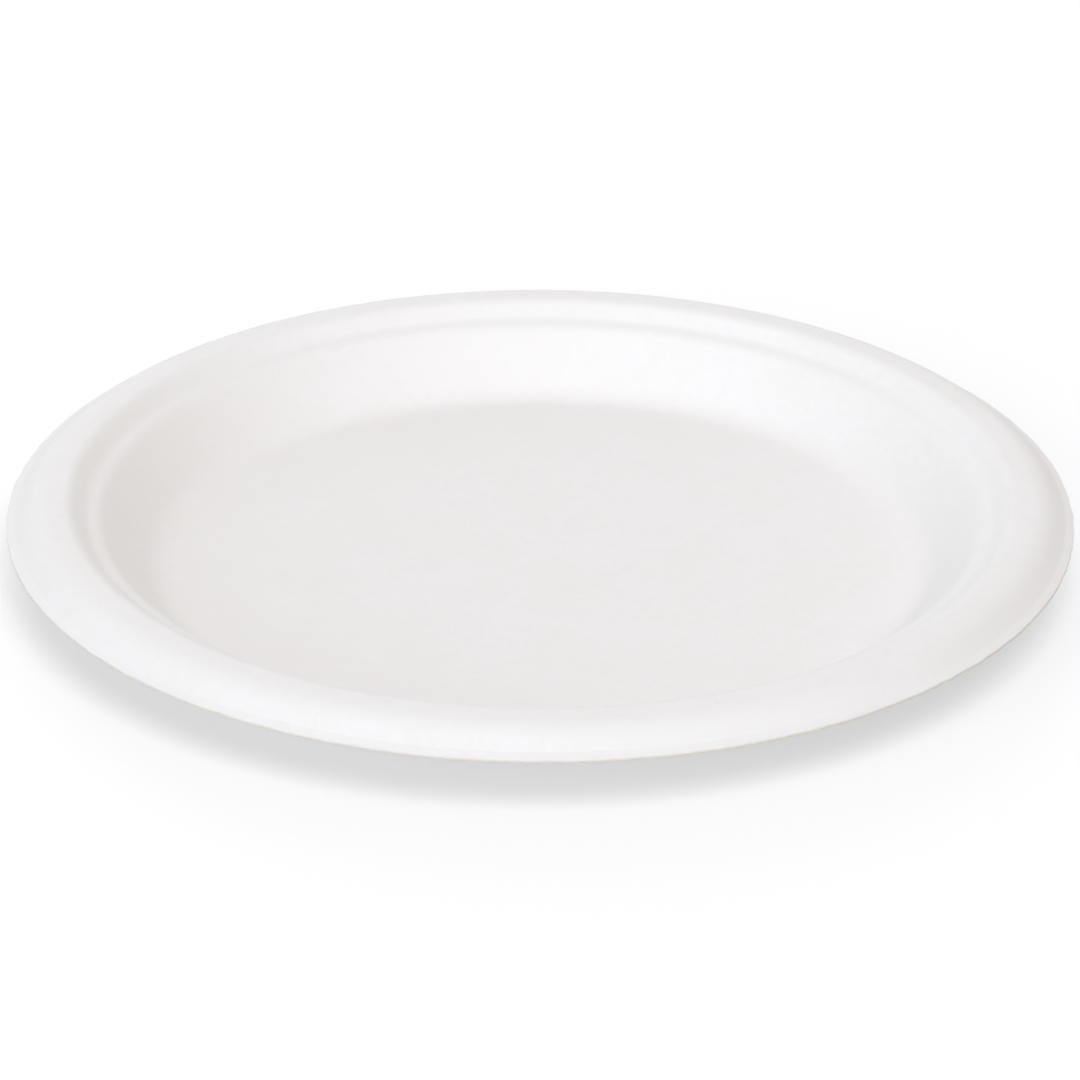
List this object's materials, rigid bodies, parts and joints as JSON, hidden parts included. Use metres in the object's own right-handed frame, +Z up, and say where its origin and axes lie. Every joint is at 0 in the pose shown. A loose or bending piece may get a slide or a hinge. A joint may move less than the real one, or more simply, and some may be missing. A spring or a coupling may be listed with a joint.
{
  "type": "bagasse plate",
  "caption": "Round disposable plate pressed from sugar cane fibre, with a flat floor, a sloping wall, a narrow ledge and a broad rim that turns down to a trimmed flange.",
  "frame": {"origin": "middle of the underside of the floor, on the surface that the plate stands on", "axes": "+Z up along the plate's axis of symmetry; X and Y lie in the plane of the floor, and the plate is the same all round"},
  "size_m": [0.23, 0.23, 0.0176],
  "materials": {
    "pulp": "matt off-white pressed fibre, finely mottled, smooth on the food side and with a fine wire-mesh print underneath"
  },
  "bodies": {
    "root": {"plate": "pulp"}
  },
  "joints": []
}
